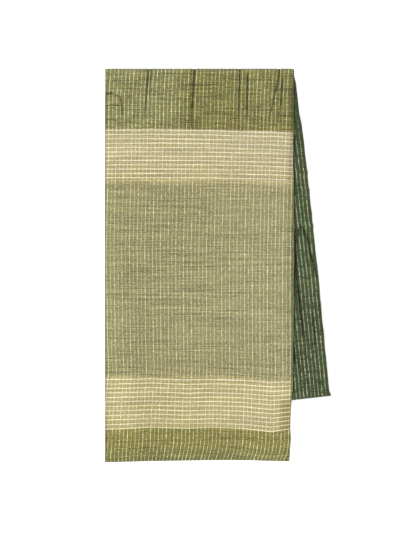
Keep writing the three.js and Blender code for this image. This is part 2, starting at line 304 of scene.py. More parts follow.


# ---- the end flap: one sheet folded lengthwise in quarters ----

# Creases that run down from the far fold: places along them (distance down the flap,
# x), half width at the top and foot, depth, and how dark their bottom is painted as shade.
FLAP_CREASES = [
    dict(path=[(0, -105.5), (74, -112.2)], width=(1.5, 1.2), depth=0.9, wear=1.05),
    dict(path=[(0, -101.2), (48, -105.6)], width=(1.15, 0.8), depth=0.7, wear=0.85),
    dict(path=[(0, -35.8), (55, -39.4), (82, -40.9), (92, -41.3)], width=(2.6, 1.4),
         depth=1.1, wear=1.0),
    dict(path=[(3, 32.9), (80, 31.4)], width=(1.35, 1.1), depth=0.85, wear=1.0),
    dict(path=[(8, 44.7), (75, 44.4)], width=(1.45, 1.3), depth=0.85, wear=1.0),
    dict(path=[(0, 93.4), (8, 93.2), (25, 91.0), (43, 85.6), (57, 83.3), (72, 79.5), (80, 77.8)],
         width=(1.9, 1.2), depth=1.05, wear=1.0),
    dict(path=[(16, 98.3), (36, 97.2), (55, 95.6), (79, 91.8)], width=(1.5, 1.25), depth=0.8,
         wear=1.0),
    dict(path=[(43, -149.0), (70, -145.4)], width=(1.25, 1.1), depth=0.5, wear=1.1),
]
# Short wrinkles across the left side: places along them, half width, depth, painted shade.
FLAP_WRINKLES = [
    dict(path=[(-172.0, 40.2), (-162.0, 38.6), (-151.4, 42.9)], width=1.3, depth=0.5, wear=1.2),
    dict(path=[(-171.2, 58.8), (-162.0, 56.0), (-151.4, 57.2)], width=1.25, depth=0.45, wear=1.2),
]
CREASED = 90  # there are creases down to this distance from the far fold
RIDGE = (0.22, 2.1, 0.8)  # beside a trough: height in its depths, place and width in its widths
SHADED_WIDTH = 0.85  # width of a crease's bottom that is darkened with painted shade, in its own widths
# Columns of points beside a crease, in its widths from it.
NEAR_CREASE = (1.9, 1.15, 0.65, 0.25, -0.25, -0.65, -1.15, -1.9)
RIGHT_COLUMNS = (0.0, -0.7, -2.0, -4.0)  # from the right side
LEFT_COLUMNS = (3.2, 1.6, 0.7)  # from the left fold
COLUMN_STEP = 3.3
FOLD_X = FLAP_LEFT + 1.3  # middle of the left fold
COUNTED_AT = (30, 115.0, FOLD_X)  # v, right side and left fold where columns are counted
PLY_MIDS = (2.45, 1.72, 0.98, 0.25)  # outer ply down to the lowest, above the base
NESTED_MIDS = (2.45, 0.95, 0.57, 0.19)  # pressed together under the creases
HEM_MIDS = (3.0, 1.8, 1.4, 0.2)
PLY_THICK, NESTED_THICK = 0.45, 0.3
HEM_TURN = 0.4  # the turned-up hem lies this far from its own ply
# Shares of the width at which the inner plies have points, closer at the left fold.
INNER_SHARES = [0.012, 0.03, 0.06, 0.1, 0.15, 0.22, 0.3, 0.42, 0.54, 0.66, 0.78, 0.9, 0.97]
FLAP_STRETCHES = [  # y at which a stretch of rows ends, its number of rows
    (268, 9), (238, 26), (205, 13), (-270, 124), (HEM_LEFT_Y + 0.4, 12),
]
FOLD_PAINTED_SHADE = 0.45  # painted shade: how dark the left fold is made
FOLD_SHADE = 0.09  # and painted shade on the cloth beside it
FOLD_PRESS, PRESS_REACH = 0.35, 9  # how far the outer ply is pressed down there, how far in
SELVEDGE_SHADE = 0.5  # painted shade: how dark the right side is made, on the olive stretch


def crease_fade(path, v):
    """1 along a crease, fading over its lower part, and soon past the far fold."""
    start, stop = path[0][0], path[-1][0]
    fade = 1 - smoothstep(v, lerp(start, stop, 0.65), stop + 6)
    top = smoothstep(v, -30, -2) if start < 5 else smoothstep(v, start - 3, start + 6)
    return fade * top


def trough(distance, width):
    """Profile across a crease: a soft trough with a low ridge on each side."""
    height, place, ridge_width = RIDGE
    return bell(distance, width) - height * bell(abs(distance) / width - place, ridge_width)


def flap_creases(x, v):
    """Depth and painted shade of the creases at a point of the outer ply."""
    depth = wear = 0.0
    if v > CREASED:
        return depth, wear
    for crease in FLAP_CREASES:
        path = crease["path"]
        distance = x - table_at(path, v)[0]
        if abs(distance) > 6:
            continue
        share = clamp((v - path[0][0]) / (path[-1][0] - path[0][0]))
        uneven = 1.1 + 0.3 * ripple(v, x * 0.3, 9, crease["depth"])
        width = lerp(*crease["width"], share) * uneven
        fade = crease_fade(path, v)
        depth += crease["depth"] * fade * trough(distance, width)
        wear += crease["wear"] * math.sqrt(fade) * bell(distance, SHADED_WIDTH * width)
    for wrinkle in FLAP_WRINKLES:
        start, stop = wrinkle["path"][0][0], wrinkle["path"][-1][0]
        if not start - 3 < x < stop + 3:
            continue
        distance, width = v - table_at(wrinkle["path"], x)[0], wrinkle["width"]
        fade = window(x, start - 3, start + 1, stop - 2, stop + 3)
        depth += wrinkle["depth"] * fade * trough(distance, width)
        wear += wrinkle["wear"] * fade * bell(distance, SHADED_WIDTH * width)
    return depth, min(wear, 1.0) * (0.9 + 0.22 * ripple(x * 1.4, v, 7, 5.6))


# How far the warp stripes stray to the right from straight: distance down the flap, then
# near its left side, in its middle and near its right side.
STRAY = [
    (-5, 7.1, 8.7, 8.1), (44, 3.4, 6.2, 5.6), (69, 3.3, 5.6, 5.2), (125, 2.7, 3.9, 2.8),
    (185, 1.3, 2, 0.8), (277, -0.8, -0.4, -1.1), (350, 0.3, -0.2, -1.4), (424, 1.2, 0, -1.2),
    (460, 3, 0.6, -0.7), (495, 0.2, -1, -1.9), (531, -2.5, -2, -2.7), (573, -4.4, -3.2, -3.7),
    (588, -5.7, -6.2, -6), (600, -5.8, -9.6, -11),
]
STRAY_AT = (-148.0, -34.0, 81.0)  # x of those three places
STRAY_EDGE, STRAY_MARGIN = 0.6, 31  # less at the right side, which lies so far from the last
# How far the woven bands sag towards the hem: x, then the upper band's first and last
# line, then the lower band's.
SAG = [
    (-172.8, 0.3, 0.4, 0.9, 3.1), (-140, -0.1, 0, 0.6, 1.6), (-101, -0.2, 0, 0, -0.4),
    (-48, 0.2, 0.2, 2.4, 1.7), (-9, 0.9, 0.5, 1.8, 0.6), (37, 2.4, 1.3, 3.3, 2.8),
    (82, 3.1, 2.2, 6.8, 7.9), (114, 5.0, 4.0, 6.2, 3.2),
]
BANDS_PART = 300  # between the upper band and the lower one, distance down the flap
UPPER_LINES = (94.7, 6.57)  # first cream weft line of the band and their pitch
LOWER_LINES = (473.9, 6.757)
LINES = 12


def flap_weave(x, v, u):
    """Weave coordinates: u across the sheet, v down it, both as straight in the loom."""
    stray = table_at(list(zip(STRAY_AT, table_at(STRAY, v))), x)[0]
    stray -= STRAY_EDGE * clamp((x - STRAY_AT[2]) / STRAY_MARGIN)
    upper_first, upper_last, lower_first, lower_last = table_at(SAG, x)
    if v < BANDS_PART:
        share = clamp((v - UPPER_LINES[0]) / (LINES * UPPER_LINES[1]))
        sag = lerp(upper_first, upper_last, share)
        sag *= window(v, 50, 90, 170, 240)
    else:
        share = clamp((v - LOWER_LINES[0]) / (LINES * LOWER_LINES[1]))
        sag = lerp(lower_first, lower_last, share) * smoothstep(v, 410, 465)
    return u - stray, v - sag


def flap_row(part, y, turned, v):
    """A row of the flap. The last four values turn the hem up: see flap_rows."""
    return dict(part=part, y=y, turned=turned, v=v, lift=0.0, up=1.0, along=0.0, back=0.0)


def flap_rows():
    """Places along the sheet, from the end of the tail round the fold to the hem's end."""
    half = TURN_RADIUS * math.pi
    rows = []
    for y in spaced(TURN_Y - TAIL_LENGTH, TURN_Y, 8)[:-1]:
        rows.append(flap_row("tail", y, 1.0, TURN_RADIUS - half - (TURN_Y - y)))
    for turned in spaced(1, 0, 16):
        rows.append(flap_row("bend", TURN_Y, turned, TURN_RADIUS - half * turned))
    start = TURN_Y
    for stop, count in FLAP_STRETCHES:
        rows += [flap_row("flap", y, 0.0, FOLD_Y - y) for y in spaced(start, stop, count)[1:]]
        start = stop
    # The hem is turned up round a small bend. lift and back move its middle, and up and
    # along are the parts of its thickness across the cloth and down it.
    radius = HEM_TURN / 2
    last = rows[-1]
    for angle in spaced(0, math.pi, 6)[1:]:
        rows.append(dict(last, lift=radius * (math.cos(angle) - 1), up=math.cos(angle),
                         along=-math.sin(angle), back=-radius * math.sin(angle),
                         v=last["v"] + radius * angle))
    for length in spaced(0, HEM_DEPTH - 0.6, 4)[1:]:
        rows.append(dict(last, y=last["y"] + length, lift=-HEM_TURN, up=-1.0,
                         v=last["v"] + radius * math.pi + length))
    return rows


def mark_x(mark, v, right_x, left_x):
    """x of a column's mark: a crease, the right side or the left fold, and an offset."""
    kind, offset = mark
    if kind == "right":
        return right_x + offset
    if kind == "left":
        return left_x + offset
    return table_at(kind["path"], v)[0] + offset


def between(right, left):
    """Columns at even steps between two marks."""
    gap = mark_x(right, *COUNTED_AT) - mark_x(left, *COUNTED_AT)
    count = max(1, math.ceil(gap / COLUMN_STEP))
    return [("mix", right, left, i / count) for i in range(1, count)]


def section_columns():
    """The outer ply's columns, from its right side to the left fold. Each follows a crease."""
    columns = [("right", offset) for offset in RIGHT_COLUMNS]
    for crease in sorted(FLAP_CREASES, key=lambda crease: -crease["path"][0][1]):
        group = [(crease, offset * max(crease["width"])) for offset in NEAR_CREASE]
        columns += between(columns[-1], group[0]) + group
    left = [("left", offset) for offset in LEFT_COLUMNS]
    return columns + between(columns[-1], left[0]) + left


def column_x(column, v, right_x, left_x):
    if column[0] == "mix":
        _, right, left, share = column
        return lerp(mark_x(right, v, right_x, left_x), mark_x(left, v, right_x, left_x), share)
    return mark_x(column, v, right_x, left_x)


def row_right(row):
    return flap_right(row["y"] if row["part"] == "flap" else TURN_Y)


def flap_side_shade(x, v, left_x, right_x):
    """How dark the outer ply is painted with shade beside its left fold and its right side."""
    fold = FOLD_PAINTED_SHADE * (1 - smoothstep(x - left_x, -0.5, 1.6))
    fold += FOLD_SHADE * (1 - smoothstep(x - left_x, 1.0, 6.0))
    olive = window(v, 2, 14, 82, 92)
    inward = right_x - x
    side = (0.35 + 0.65 * smoothstep(inward, 0.4, 2.6)) * (1 - smoothstep(inward, 3.4, 5.4))
    return fold + SELVEDGE_SHADE * olive * side


def flap_plies(row):
    """Middles of the four plies, from the outer one down, and the outer one's thickness and
    that of the inner ones. They lie closer under the creases and over the turned-up hem."""
    v = row["v"]
    hem = 0.0
    if row["part"] == "flap":
        hem = 1 - smoothstep(row["y"] - HEM_LEFT_Y, HEM_DEPTH, HEM_DEPTH + HEM_STEP)
    nest = window(v, -24, -6, 84, 112)
    mids = [lerp(lerp(normal, nested, nest), hemmed, hem)
            for normal, nested, hemmed in zip(PLY_MIDS, NESTED_MIDS, HEM_MIDS)]
    thin = lerp(lerp(PLY_THICK, NESTED_THICK, nest), NESTED_THICK, hem)
    return mids, lerp(PLY_THICK, NESTED_THICK, hem), thin


def outer_ply(v, columns, left_x, right_x, top, thick):
    """Points of the ply that shows, from its right side to the left fold."""
    points = []
    for column in columns:
        x = column_x(column, v, right_x, left_x)
        depth, wear = flap_creases(x, v)
        press = FOLD_PRESS * (1 - smoothstep(x - FLAP_LEFT, 0, PRESS_REACH))
        shade_amount = max(wear, flap_side_shade(x, v, left_x, right_x))
        points.append((x, top - depth - press, thick, 0.0, shade_amount))
    return points


def inner_places(left_x, under_x, second, third, low):
    """Places on the plies under it, from the left fold's foot to the selvedge."""
    # The lowest ply, the fold over its right side, and the next one back to the left.
    edge = under_x - 0.5
    radius = (third - low) / 2
    inner = [lerp(left_x, edge - radius, share) for share in INNER_SHARES]
    places = [(x, low) for x in inner]
    places += arc(edge - radius, (third + low) / 2, radius, -90, 90, 5)
    places += [(x, third) for x in inner[::-1]]
    # Round inside the left fold, and on to the selvedge under the outer ply.
    places += arc(left_x, (second + third) / 2, (second - third) / 2, 270, 90, 5)
    places += [(lerp(left_x, under_x, share), second)
               for share in INNER_SHARES[:-1] + [0.95, 0.985, 1.0]]
    return places


def flap_section(row, columns):
    """Points of the folded sheet across one row: x, offset above the base, thickness, ply
    (0 on the outer one, 1 on those under it) and painted shade."""
    (top, second, third, low), thick, thin = flap_plies(row)
    right_x, under_x = row_right(row)
    radius = (top - low) / 2
    left_x = flap_left(row["v"]) + radius + thick / 2
    points = outer_ply(row["v"], columns, left_x, right_x, top, thick)
    press = points[-1][1] - top
    # The left fold's edge is darkened with painted shade.
    for x, height, angle in arc(left_x, (top + low) / 2, radius, 90, 270, 9):
        lift = press * (1 + math.sin(math.radians(angle))) / 2
        points.append((x, height + lift, thick, clamp((angle - 90) / 180), FOLD_PAINTED_SHADE))
    return points + under_ply(inner_places(left_x, under_x, second, third, low), thin)


def flap_position(row, x, offset, along):
    if row["part"] == "flap":
        slant = (HEM_RIGHT_Y - HEM_LEFT_Y) * clamp((x - FLAP_LEFT) / FLAP_WIDTH)
        y = row["y"] + slant * smoothstep(-row["y"], -160, 296) + row["back"] + along
        y -= table_at(HEM_EDGE, x)[0] * smoothstep(-row["y"], 250, 298)
        return flap_place(x, y, offset)
    squeeze = lerp(1, STRIP_WALL / FLAP_WALL, row["turned"])
    inward = max((FLAP_WALL - offset) * squeeze, 0.02 if row["part"] == "tail" else -1.0)
    if row["part"] == "tail":
        return (x + (TURN_Y - row["y"]) * math.tan(LEAN), row["y"], inward)
    angle = math.pi * (0.5 - row["turned"])
    radius = TURN_RADIUS - inward
    return (x, TURN_Y + radius * math.cos(angle), TURN_RADIUS + radius * math.sin(angle))


def build_flap():
    columns = section_columns()

    def weave_at(row, x, run, ply):
        if ply >= 1:
            u = row_right(row)[0] - run
        else:
            u = x if ply == 0 else 2 * FOLD_X - x
        return *flap_weave(x, row["v"], u - FLAP_LEFT), ply

    return folded_sheet("flap_cloth", flap_rows(), lambda row: flap_section(row, columns),
                        flap_position, weave_at)


# ---- the body strip: four plies with their end turned down over the pack ----

# Troughs that run along the strip beside the flap: places along them (x, y), half
# width, depth, painted shade.
STRIP_CREASES = [
    dict(path=[(118.1, 66), (118.1, 23.3), (118.5, -2.7), (119.9, -22.6), (121.6, -37.9),
               (123.3, -50), (124.4, -60.8), (125.9, -73), (127.8, -86.8), (129, -102),
               (129.8, -116)], width=2.4, depth=0.55, wear=1.05),
    dict(path=[(129.4, 55), (133.4, 47), (136.4, 40), (137.9, 31), (139.4, 21.8), (143.0, 13),
               (145.4, 2), (147.3, -8.8), (149.9, -20)],
         width=1.9, depth=0.45, wear=1.05),
    dict(path=[(143, -71.5), (143.8, -80.7), (146, -92.9), (147.2, -105), (148, -112),
               (146.8, -119.5), (143.8, -127)], width=1.35, depth=0.35, wear=0.9),
    dict(path=[(152.3, -44), (153.8, -56.2), (154.5, -68.4), (155.7, -80.7)],
         width=1.1, depth=0.25, wear=0.6),
    dict(path=[(115.4, -126), (116.8, -141), (117.4, -154)], width=1.4, depth=0.4, wear=0.9),
    dict(path=[(114.4, 168), (116.0, 139), (116.6, 112)], width=1.0, depth=0.3, wear=0.6),
    dict(path=[(122.9, 42), (122.3, 52.4), (123.9, 57.3), (127.7, 57.9), (130.4, 52.4),
               (131.4, 42)], width=1.15, depth=0.3, wear=0.85),
    dict(path=[(122.3, -142), (122.9, -153), (127.5, -158.7), (132.4, -156.2), (137.6, -150)],
         width=1.05, depth=0.25, wear=0.75),
    dict(path=[(117.3, -191.4), (123.4, -189.2), (129.5, -186.2), (133.7, -180.1),
               (138.9, -175), (145, -174), (151.1, -176.1), (155.2, -180.1), (158.3, -185.3)],
         width=1.15, depth=0.3, wear=0.8),
]
CONTACT_SHADOW = 0.3  # painted shadow: how much darker the strip is where the flap's edge lies on it
# How far the upper fold at the right lies back from the selvedges under it: place along
# the strip from the far fold, 0 to 1, and the distance.
FOLD_BACK = [(0, 0.7), (0.39, 0.9), (0.5, 1.6), (0.67, 2.4), (0.76, 2.6), (0.84, 1.5), (1, 0.7)]
STRIP_MIDS = (1.24, 0.88, 0.52, 0.16)  # the uppermost ply down to the lowest
STRIP_NESTED = (1.24, 0.45, 0.27, 0.11)  # pressed together between the folds
STRIP_THICK, STRIP_NESTED_THICK = 0.3, 0.17
STRIP_SWELL = 0.14
STRIP_BEND_AT = 0.955  # share of the length from which the rows are closer
# Shares of the width at which its hidden plies have points, from the left.
COARSE_SHARES = [0.01, 0.025, 0.04, 0.1, 0.2, 0.35, 0.5, 0.62, 0.72]
CLOSE_SHARES = [0.8, 0.88, 0.95, 0.975, 0.982]
LAST_SHARE = 0.993


def strip_plan(across, share):
    """x and y of a place on the strip, by its shares of the width and of the length."""
    far = [lerp(a, b, across) for a, b in zip(STRIP_FAR_LEFT, STRIP_FAR_RIGHT)]
    near = [lerp(a, b, across) for a, b in zip(STRIP_NEAR_LEFT, STRIP_NEAR_RIGHT)]
    x, y = (lerp(a, b, share) for a, b in zip(far, near))
    x += STRIP_BOW * math.sin(math.pi * share) * across ** 4
    x += strip_pull(across, share)
    x += CORNER_EAR * smoothstep(share, 0.98, 1) * smoothstep(across, 0.97, 1)
    y -= lerp(*END_REACH, smoothstep(across, 0.8, 1)) * smoothstep(share, 0.9, 1)
    return x, y


def share_at(y):
    """Share of the strip's length at which it reaches y."""
    return (TURN_Y - y) / (TURN_Y - STRIP_NEAR_RIGHT[1])


def path_distance(x, y, path):
    """Distance from a path, and how far along it the nearest place is, 0 to 1."""
    found = []
    for i, (a, b) in enumerate(zip(path, path[1:])):
        ax, ay = b[0] - a[0], b[1] - a[1]
        t = clamp(((x - a[0]) * ax + (y - a[1]) * ay) / (ax * ax + ay * ay))
        distance = math.hypot(x - a[0] - ax * t, y - a[1] - ay * t)
        found.append((distance, (i + t) / (len(path) - 1)))
    return min(found)


def strip_creases(x, y):
    """Depth and painted shade of the creases at a point of the uppermost ply."""
    depth = wear = 0.0
    for crease in STRIP_CREASES:
        distance, share = path_distance(x, y, crease["path"])
        if distance > 5:
            continue
        fade = window(share, 0, 0.08, 0.85, 1)
        width = crease["width"] * (1 + 0.3 * ripple(x, y, 8, crease["width"]))
        depth += crease["depth"] * fade * trough(distance, width)
        wear += crease["wear"] * fade * bell(distance, width)
    return depth, wear * (0.9 + 0.3 * ripple(x, y, 6, 2.9))


def pressed_ply(shares, ply):
    """Points of a hidden ply, pressed on the one below between the folds."""
    points = []
    for share in shares:
        nested = window(share, 0.01, 0.04, 0.978, 0.991)
        points.append((share * STRIP_WIDTH, lerp(STRIP_MIDS[ply], STRIP_NESTED[ply], nested),
                       lerp(STRIP_THICK, STRIP_NESTED_THICK, nested), 1.0, 0.0))
    return points


def uppermost_ply(row, right):
    """Points of the ply that shows, from the fold at the right to the left."""
    points = []
    for share in spaced(right - 0.0028, 0.79, 52) + COARSE_SHARES[::-1]:
        x, y = strip_plan(share, row["share"])
        depth, wear = (0.0, 0.0) if row["bend"] else strip_creases(x, y)
        # Painted shadow beside the flap's edge.
        wear += CONTACT_SHADOW * (1 - smoothstep(x - flap_right(y)[1], 1.0, 4.0))
        points.append((share * STRIP_WIDTH, STRIP_MIDS[0] - depth, STRIP_THICK, 0.0,
                       min(wear, 1.0)))
    return points


def strip_section(row):
    """Four plies: the lengthwise folds at the left, a fold over two selvedges at the right.
    Gives place across, offset above the base, thickness, ply and painted shade."""
    top, second, third, low = STRIP_MIDS
    width, thick = STRIP_WIDTH, STRIP_THICK
    first, last = (width + 0.4 * ripple(0, row["share"] * 520, 24, seed) - 0.3
                   for seed in (3.3, 7.9))
    fold, big = (top - second) / 2, (top - low) / 2
    right = 1 - table_at(FOLD_BACK, row["share"])[0] / width
    hidden = COARSE_SHARES + CLOSE_SHARES
    # From the third ply's selvedge to the left, round, and on to the uppermost ply.
    points = pressed_ply([first / width, LAST_SHARE] + hidden[::-1], 2)
    points += under_ply(arc(big, (second + third) / 2, (second - third) / 2, 270, 90, 4), thick)
    points += pressed_ply(hidden + [right - 0.0035], 1)
    turn = arc(right * width - fold, (top + second) / 2, fold, -90, 90, 5)
    points += [(x, height, thick, clamp((90 - angle) / 180), 0.0) for x, height, angle in turn]
    points += uppermost_ply(row, right)
    turn = arc(big, (top + low) / 2, big, 90, 270, 6)
    points += [(x, height, thick, clamp((angle - 90) / 180), 0.0) for x, height, angle in turn]
    return points + pressed_ply(hidden + [LAST_SHARE, last / width + 0.001], 3)


def strip_row(share, bend=0.0, drop=0.0):
    return dict(share=share, bend=bend, drop=drop, lift=0.0, up=1.0, along=0.0)


def strip_rows():
    """Places along the strip, from the far fold round the bend to its hanging end."""
    flat = 1 - END_RADIUS / STRIP_LENGTH
    rows = [strip_row(share) for share in spaced(0, STRIP_BEND_AT, 150)]
    rows += [strip_row(share) for share in spaced(STRIP_BEND_AT, flat, 12)[1:]]
    rows += [strip_row(flat, bend) for bend in spaced(0, math.pi / 2, 8)[1:]]
    return rows + [strip_row(flat, math.pi / 2, drop) for drop in spaced(0, END_DROP, 3)[1:]]


def strip_position(row, x, offset, _along):
    px, py = strip_plan(x / STRIP_WIDTH, row["share"])
    radius = END_RADIUS - (STRIP_WALL - offset)
    reach = radius * math.sin(row["bend"])
    # The plies' ends are cut a little unevenly.
    drop = row["drop"] * (0.8 + 0.16 * ripple(x, 0, 23, 5.1 + round(offset * 3) * 1.7))
    z = STRIP_BASE + STRIP_WALL - END_RADIUS + radius * math.cos(row["bend"]) - drop
    swell = STRIP_SWELL * swelling(px, py * 0.5, 26, 12.5) * (1 - row["bend"] / 1.6)
    beside = smoothstep(px - flap_right(py)[1], 1.0, 8.0)
    return (px + math.sin(LEAN) * reach, py - math.cos(LEAN) * reach, z + swell * beside)


def build_strip():
    def weave_at(row, x, _run, ply):
        along = STRIP_LENGTH * row["share"] + END_RADIUS * row["bend"] + row["drop"]
        return STRIP_WIDTH - x + 0.5, along, ply

    return folded_sheet("body_strip_cloth", strip_rows(), strip_section, strip_position, weave_at)


# ---- the hidden layers ----

# Bulges of one quarter-folded layer, from below: share of its height, and how far each
# stands back from the widest. The right side shows two selvedges and a fold, the left
# side one round fold.
RIGHT_PLIES = [(0.26, 0.0, "ply"), (0.26, 0.7, "ply"), (0.48, 0.25, "fold")]
RING_STEPS = {"ply": (0.0, 0.18, 0.5, 0.82), "fold": (0.0, 0.1, 0.3, 0.7, 0.9)}
LEFT_ROUND, END_ROUND, FAR_ROUND, PLY_ROUND = 1.3, 1.4, 0.8, 0.55  # depth of their bulges
PLY_CLEFT = 0.75  # depth of the cleft beside a selvedge
FAR_CLEARANCE = 0.5  # room that is left inside the far turn
CORNER_RADIUS, CORNER_STEPS = 5.0, 5
SIDE_COUNTS = (56, 84, 30, 40)  # steps along the near, right, far and left sides
WAVES = [(0.5, 38, 0), (0.22, 9, 5)]  # how uneven the sides are: depth, length, seed
WAVE_LIMIT = 0.45
CAP_SHRINKS = (0.12, 0.4, 0.7)  # rings of faces on the top and underside, towards their middle
CLEFT_SHADE, BULGE_SHADE = 0.85, 0.15  # painted shade: how dark the clefts and the bulges are


def pack_levels():
    """Heights of the rings, each with its layer and where it is in each side's bulges."""
    levels = []
    floor = 0.0
    for i, (height, *_rest) in enumerate(PACK_LAYERS):
        start = 0.0
        for share, back, kind in RIGHT_PLIES if i % 2 else RIGHT_PLIES[::-1]:
            for step in RING_STEPS[kind]:
                levels.append(dict(z=floor + height * (start + share * step), layer=i,
                                   share=start + share * step, ply=step, back=back, kind=kind,
                                   edge=start))
            start += share
        floor += height
    levels.append(dict(z=floor, layer=len(PACK_LAYERS) - 1, share=1.0, ply=0.0, back=0.25,
                       kind="fold", edge=1.0))
    return levels


def round_bulge(share, depth):
    """How far a rounded edge stands back at a share of its height."""
    return depth * (1 - math.sqrt(max(0.0, 1 - (2 * share - 1) ** 2)))


def far_reach(z):
    """How far the pack reaches into the far turn at a height."""
    room = TURN_RADIUS - FLAP_WALL - GAP - FAR_CLEARANCE
    return math.sqrt(max(0.0, room ** 2 - (z - TURN_RADIUS) ** 2))


def fold_share(i, share, side):
    """Share of the height of the fold that joins layer i to its neighbour at one end."""
    if PACK_LAYERS[i][5] == side:
        lower = i
    elif i and PACK_LAYERS[i - 1][5] == side:
        lower = i - 1
    else:
        return share
    if lower + 1 >= len(PACK_LAYERS):
        return share
    low, high = PACK_LAYERS[lower][0], PACK_LAYERS[lower + 1][0]
    below = 0.0 if i == lower else low
    return (below + share * PACK_LAYERS[i][0]) / (low + high)


def pack_corners(level):
    """The outline's corners at a level, from the near left one."""
    i, share = level["layer"], level["share"]
    _, left, right, end, far, _ = PACK_LAYERS[i]
    if level["kind"] == "fold":
        back = round_bulge(level["ply"], PLY_ROUND)
    else:
        back = PLY_CLEFT if level["ply"] == 0 else 0.12 * abs(level["ply"] - 0.5)
    left -= round_bulge(share, LEFT_ROUND)
    right -= level["back"] + back
    end -= round_bulge(fold_share(i, share, "end"), END_ROUND)
    if i > 0:
        far += far_reach(level["z"]) - round_bulge(fold_share(i, share, "far"), FAR_ROUND)
    ax, ay = math.cos(LEAN), math.sin(LEAN)
    return [
        Vector((x + ax * side - ay * length, y + ay * side + ax * length))
        for (x, y), side, length in (
            (STRIP_NEAR_LEFT, -left, -end), (STRIP_NEAR_RIGHT, right, -end),
            (STRIP_FAR_RIGHT, right, far), (STRIP_FAR_LEFT, -left, far))
    ]


def pack_ring(level):
    """The outline at a level: round corners, uneven sides, drawn in where the strip is."""
    corners = pack_corners(level)
    seed = 2.0 + 1.7 * level["layer"]
    if level["kind"] == "ply":
        seed += 0.9 * round(level["edge"] * 4)
    ring = []
    for k, (here, count) in enumerate(zip(corners, SIDE_COUNTS)):
        before, after = corners[k - 1], corners[(k + 1) % 4]
        onward = (after - here).normalized()
        start = here + (before - here).normalized() * CORNER_RADIUS
        stop = here + onward * CORNER_RADIUS
        for t in spaced(0, 1, CORNER_STEPS):
            ring.append(start.lerp(here, t).lerp(here.lerp(stop, t), t))
        finish = after - onward * CORNER_RADIUS
        outward = Vector((onward.y, -onward.x))
        for share in spaced(0, 1, count)[1:-1]:
            run = share * (finish - stop).length
            wave = sum(depth * ripple(run, 40 * k, size, seed + more)
                       for depth, size, more in WAVES)
            fade = math.sqrt(math.sin(math.pi * share))
            ring.append(stop.lerp(finish, share) + outward * min(wave, WAVE_LIMIT) * fade)
    drawn_in = []
    for p in ring:
        across = clamp(1 + (p.x - along_lean(STRIP_NEAR_RIGHT, p.y)) / STRIP_WIDTH)
        drawn_in.append((p.x + min(strip_pull(across, share_at(p.y)), 0.0), p.y, level["z"]))
    return drawn_in


def add_cap(points, faces, ring, start, upper):
    """Close the pack over a ring whose points begin at `start`, with rings to a middle."""
    count = len(ring)
    hub = (sum(p[0] for p in ring) / count, sum(p[1] for p in ring) / count, ring[0][2])
    index = list(range(start, start + count))
    for shrink in CAP_SHRINKS:
        inner = list(range(len(points), len(points) + count))
        points += [tuple(lerp(a, b, shrink) for a, b in zip(p, hub)) for p in ring]
        for i in range(count):
            j = (i + 1) % count
            quad = (index[i], index[j], inner[j], inner[i])
            faces.append(quad if upper else quad[::-1])
        index = inner
    points.append(hub)
    for i in range(count):
        tri = (index[i], index[(i + 1) % count], len(points) - 1)
        faces.append(tri if upper else tri[::-1])


def build_pack():
    levels = pack_levels()
    rings = [pack_ring(level) for level in levels]
    count = len(rings[0])
    points = [p for ring in rings for p in ring]
    faces = []
    for r in range(len(rings) - 1):
        for i in range(count):
            a, b = r * count + i, r * count + (i + 1) % count
            faces.append((a, b, b + count, a + count))
    add_cap(points, faces, rings[0], 0, False)
    add_cap(points, faces, rings[-1], (len(rings) - 1) * count, True)
    weave = []
    ax, ay = math.cos(LEAN), math.sin(LEAN)
    for x, y, _ in points:
        dx, dy = x - STRIP_NEAR_RIGHT[0], y - STRIP_NEAR_RIGHT[1]
        weave.append((-(dx * ax + dy * ay), -(dy * ax - dx * ay) + STRIP_LENGTH, 1.0))
    # Painted shade on the pack's sides: dark in the clefts, a little on the bulges.
    wear = []
    for level in levels:
        wear += [CLEFT_SHADE if level["ply"] == 0 else BULGE_SHADE] * count
    wear += [0.0] * (len(points) - len(wear))
    return make_mesh("folded_layers_cloth", points, faces, weave, wear, ROUND_SHARP)


# ---- stitches and loose threads ----

STITCH_RADIUS, LOOSE_RADIUS = 0.2, 0.24
THREAD_SIDES = 6
END_PINCH = 0.45  # radius of a thread's end, as a share of its own
STITCH_FIRST, STITCH_LAST = 3.0, 104  # past the left side, and x of the last
STITCH_LENGTH, STITCH_GAP = 2.3, 1.7
STITCH_IN = 1.1  # how far the seam lies inside the hem's upper edge
# Ends of weft that stand out of the strip's right side: place along it, length, how far
# they point down it, curl.
LOOSE_ENDS = [
    (253.0, 3.6, 0.5, 0.9), (225.2, 3.0, -0.4, -0.8), (143.0, 2.0, 0.3, 0.5),
    (117.0, 2.2, -0.2, 0.6), (61.5, 2.2, -0.7, 0.7), (10.0, 1.6, 0.2, -0.5),
    (-60.0, 2.0, 0.6, 0.6), (-109.0, 3.4, 0.2, -1.0), (-150.0, 2.0, -0.3, 0.6),
    (-194.0, 4.2, 0.5, 0.8), (-196.4, 3.2, 1.0, -0.5),
]


